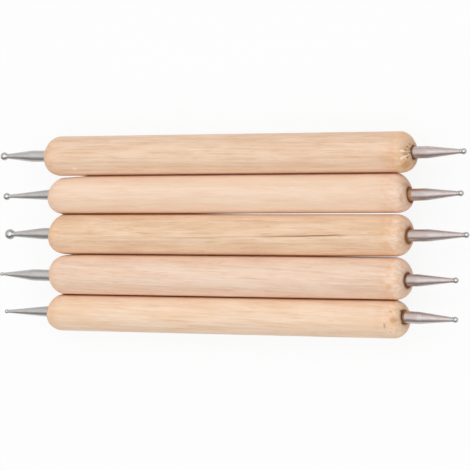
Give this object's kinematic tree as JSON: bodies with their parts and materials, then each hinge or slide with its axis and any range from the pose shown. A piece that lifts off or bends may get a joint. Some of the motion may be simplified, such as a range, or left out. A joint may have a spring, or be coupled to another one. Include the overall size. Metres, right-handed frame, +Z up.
{
  "type": "embossing stylus set",
  "caption": "Double-ended ball embossing styluses lying side by side: turned wooden handles with domed ends, each end holding a tapered steel shank tipped with a small polished ball.",
  "frame": {"origin": "middle of the underside of the row's box, on the surface that the handles lie on", "axes": "+X along the styluses towards the ends whose balls are all one size, +Y across the row towards the rearmost stylus, +Z up"},
  "size_m": [0.1368, 0.0518, 0.0106],
  "materials": {
    "handle_wood_1": "smooth sanded bare wood, straight-grained, warm",
    "handle_wood_2": "smooth sanded bare wood, pale, softly figured",
    "handle_wood_3": "smooth sanded bare wood, yellowish, with one dark grain line",
    "handle_wood_4": "smooth sanded bare wood, pinkish",
    "handle_wood_5": "smooth sanded bare wood, palest",
    "shank_steel": "satin ground steel",
    "ball_steel": "mirror-polished steel",
    "adhesive": "set amber adhesive"
  },
  "bodies": {
    "stylus_1": {"stylus_1_handle": "handle_wood_1", "stylus_1_left_glue": "adhesive", "stylus_1_left_shank": "shank_steel", "stylus_1_left_ball": "ball_steel", "stylus_1_right_glue": "adhesive", "stylus_1_right_shank": "shank_steel", "stylus_1_right_ball": "ball_steel"},
    "stylus_2": {"stylus_2_handle": "handle_wood_2", "stylus_2_left_glue": "adhesive", "stylus_2_left_shank": "shank_steel", "stylus_2_left_ball": "ball_steel", "stylus_2_right_glue": "adhesive", "stylus_2_right_shank": "shank_steel", "stylus_2_right_ball": "ball_steel"},
    "stylus_3": {"stylus_3_handle": "handle_wood_3", "stylus_3_left_glue": "adhesive", "stylus_3_left_shank": "shank_steel", "stylus_3_left_ball": "ball_steel", "stylus_3_right_glue": "adhesive", "stylus_3_right_shank": "shank_steel", "stylus_3_right_ball": "ball_steel"},
    "stylus_4": {"stylus_4_handle": "handle_wood_4", "stylus_4_left_glue": "adhesive", "stylus_4_left_shank": "shank_steel", "stylus_4_left_ball": "ball_steel", "stylus_4_right_glue": "adhesive", "stylus_4_right_shank": "shank_steel", "stylus_4_right_ball": "ball_steel"},
    "stylus_5": {"stylus_5_handle": "handle_wood_5", "stylus_5_left_glue": "adhesive", "stylus_5_left_shank": "shank_steel", "stylus_5_left_ball": "ball_steel", "stylus_5_right_glue": "adhesive", "stylus_5_right_shank": "shank_steel", "stylus_5_right_ball": "ball_steel"}
  },
  "joints": [
    {"name": "stylus_1_lift", "type": "slide", "parent": "stylus_3", "child": "stylus_1", "axis": [0, 0, 1], "range_m": [0, 0.03]},
    {"name": "stylus_2_lift", "type": "slide", "parent": "stylus_3", "child": "stylus_2", "axis": [0, 0, 1], "range_m": [0, 0.03]},
    {"name": "stylus_4_lift", "type": "slide", "parent": "stylus_3", "child": "stylus_4", "axis": [0, 0, 1], "range_m": [0, 0.03]},
    {"name": "stylus_5_lift", "type": "slide", "parent": "stylus_3", "child": "stylus_5", "axis": [0, 0, 1], "range_m": [0, 0.03]}
  ]
}
